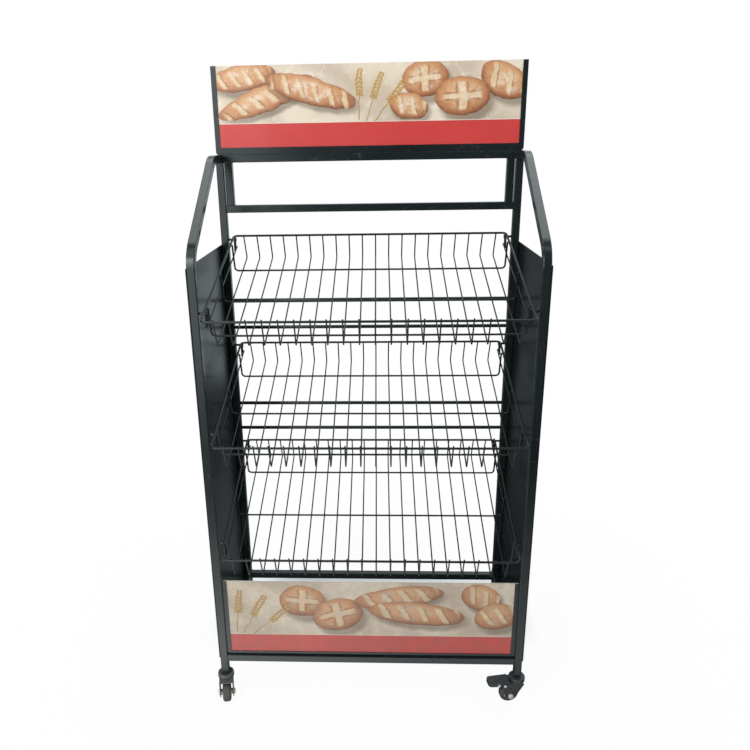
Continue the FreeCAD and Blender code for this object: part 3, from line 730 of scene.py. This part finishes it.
def painted_floor_reflection(paper, x, y):
    """Painted reflection: the colour the floor glows with in gloss, bright close in front of the rack, dim
    further out and at the right.
    """
    right = x.over(0.0, 0.8)
    near = ((y + 1.6) / 1.3).math("MAXIMUM", 0.0) ** 1.6 * (1 - y.over(-0.27, 0.16))
    far = (1 - y.over(-1.9, 1.2)) * (1 - right)
    bright = near * (2.6 - right * 1.4)
    dim = far * 0.8 + (1 - right) * 0.16 + 0.02
    return paper.node("ShaderNodeCombineXYZ", inputs={
        index: bright * PAINTED_REFLECTION_WARM[index] + dim * COOL_ROOM[index] for index in range(3)})


def under_rack(x, y):
    """1 on the floor under the rear half of the rack, 0 elsewhere."""
    return y.over(0.10, 0.16) * (1 - y.over(0.405, 0.03)) * (1 - x.math("ABSOLUTE").over(0.45, 0.12))


def floor_paper():
    """White to the eye, but for a part of the shadow near the rack and most of it under the rack; in gloss
    and through glass it glows with a painted reflection.
    """
    paper = Finish("floor_paper")
    x, y, _ = paper.parts(paper.place())
    eye, glossy, clear = paper.rays()
    mirrored = (glossy + clear).math("MINIMUM", 1.0)
    away = (x * x + y * y).math("SQRT").over(shadow_middle, 1.0)
    lit = paper.node("ShaderNodeBsdfDiffuse", inputs={
        "Color": paper.mix(paper.noise(2.0), grey(0.86), grey(0.90))})
    # Plain white to the eye; to gloss and clear-glass rays the floor glows with the painted reflection.
    white = paper.node("ShaderNodeEmission", inputs={
        "Color": paper.mix(mirrored, WHITE, painted_floor_reflection(paper, x, y)), "Strength": 1.0})
    plain = (away * (1 - paper_plain) + paper_plain) * (1 - under_rack(x, y) * under_rack_shade)
    share = (eye * plain + mirrored).math("MINIMUM", 1.0)
    paper.surface(paper.node("ShaderNodeMixShader", inputs={0: share, 1: lit, 2: white}))
    return paper.material


def make_floor():
    bm = bmesh.new()
    bmesh.ops.create_circle(bm, cap_ends=True, radius=paper_radius, segments=64)
    mesh = bpy.data.meshes.new("studio_floor")
    bm.to_mesh(mesh)
    bm.free()
    floor = bpy.data.objects.new("studio_floor", mesh)
    bpy.context.scene.collection.objects.link(floor)
    floor.data.materials.append(floor_paper())


def make_world():
    """White to the eye and through clear glass; to all else a dim room, paler at the back and above."""
    world = bpy.data.worlds.new("studio")
    bpy.context.scene.world = world
    studio = Shading(world, "ShaderNodeOutputWorld")
    x, y, z = studio.parts(studio.node("ShaderNodeTexCoord", out="Generated"))
    walls = y.ramp(-0.4, 0.5, 0.10, 0.42) * x.ramp(-0.3, 0.3, 0.04, 1.60)
    above = z.ramp(-0.12, 0.04, 0.0, 0.55) * y.ramp(0.2, 0.6, 0.0, 1.0)
    room = studio.node("ShaderNodeBackground", inputs={"Color": COOL_ROOM, "Strength": walls + above})
    white = studio.node("ShaderNodeBackground", inputs={"Color": WHITE, "Strength": 1.0})
    eye, glossy, clear = studio.rays()
    share = eye.math("MAXIMUM", clear) + glossy * glossy_white
    studio.surface(studio.node("ShaderNodeMixShader", inputs={0: share, 1: room, 2: white}))


def make_lamp(name, place, aim, size, watts):
    lamp = bpy.data.lights.new(name, "AREA")
    lamp.shape = "RECTANGLE"
    lamp.size, lamp.size_y = size
    lamp.energy = watts
    stand = bpy.data.objects.new(name, lamp)
    bpy.context.scene.collection.objects.link(stand)
    stand.location = place
    stand.rotation_euler = (Vector(aim) - Vector(place)).to_track_quat("-Z", "Y").to_euler()


def make_camera():
    lens = bpy.data.cameras.new("camera")
    lens.sensor_width = 36.0
    lens.lens = 34.84
    lens.shift_x = 0.0383
    lens.shift_y = 0.0223
    camera = bpy.data.objects.new("camera", lens)
    bpy.context.scene.collection.objects.link(camera)
    flat = math.cos(camera_down)
    ahead = Vector((math.sin(camera_turn) * flat, math.cos(camera_turn) * flat, -math.sin(camera_down)))
    aside = Vector((math.cos(camera_turn), -math.sin(camera_turn), 0))
    rise = aside.cross(ahead)
    right = math.cos(camera_roll) * aside + math.sin(camera_roll) * rise
    up = math.cos(camera_roll) * rise - math.sin(camera_roll) * aside
    axes = Matrix((right, up, -ahead)).transposed()
    camera.matrix_world = Matrix.Translation(camera_place) @ axes.to_4x4()
    bpy.context.scene.camera = camera


# ---- the rack ---------------------------------------------------------------------------------
frame_coat = powder_coat("frame_coat", (0.0050, 0.0090, 0.0100, 1), (0.0095, 0.0145, 0.0155, 1),
                         rough=0.17, grain=900.0)
wire_coat = powder_coat("wire_coat", (0.0045, 0.0070, 0.0075, 1), (0.0090, 0.0120, 0.0130, 1),
                        rough=0.30, grain=1400.0, shine=0.38)
fork_coat = powder_coat("fork_coat", (0.021, 0.023, 0.025, 1), (0.046, 0.050, 0.054, 1),
                        rough=0.28, grain=1200.0)
# Lighter copy of the fork coat for the front left caster: painted light.
fork_coat_painted_light = powder_coat("fork_coat_painted_light", (0.060, 0.063, 0.067, 1), (0.120, 0.124, 0.130, 1),
                                rough=0.34, grain=1200.0)

dress_nodes({
    "frame_coat": frame_coat,
    "wire_coat": wire_coat,
    "fork_coat": fork_coat,
    "fork_coat_painted_light": fork_coat_painted_light,
    "panel_gloss": gloss_enamel(),
    "zinc_plate": zinc_plate(),
    "hub_plastic": hub_plastic(),
    "tyre_rubber": tyre_rubber(),
    "socket_plastic": moulded_black(),
    "sign_card": frame_coat,
})
print_card("header", 0.345, 0.0, HEADER_LOAVES, HEADER_SPRAYS)
print_card("lower", 0.27, 0.80, LOWER_LOAVES, LOWER_SPRAYS)

for level in BASKETS:
    make_floor_wires(level, wire_coat)
    make_cross_wires(level, wire_coat)
    make_rim(level, wire_coat)
    make_side_wires(level, wire_coat)
    make_weld_spots(level, wire_coat)
make_guard_rods(frame_coat)
make_weld_beads(frame_coat)

make_floor()
make_world()
for name, lamp in LAMPS.items():
    make_lamp(name, *lamp)
make_camera()

bpy.context.scene.view_settings.view_transform = "Standard"
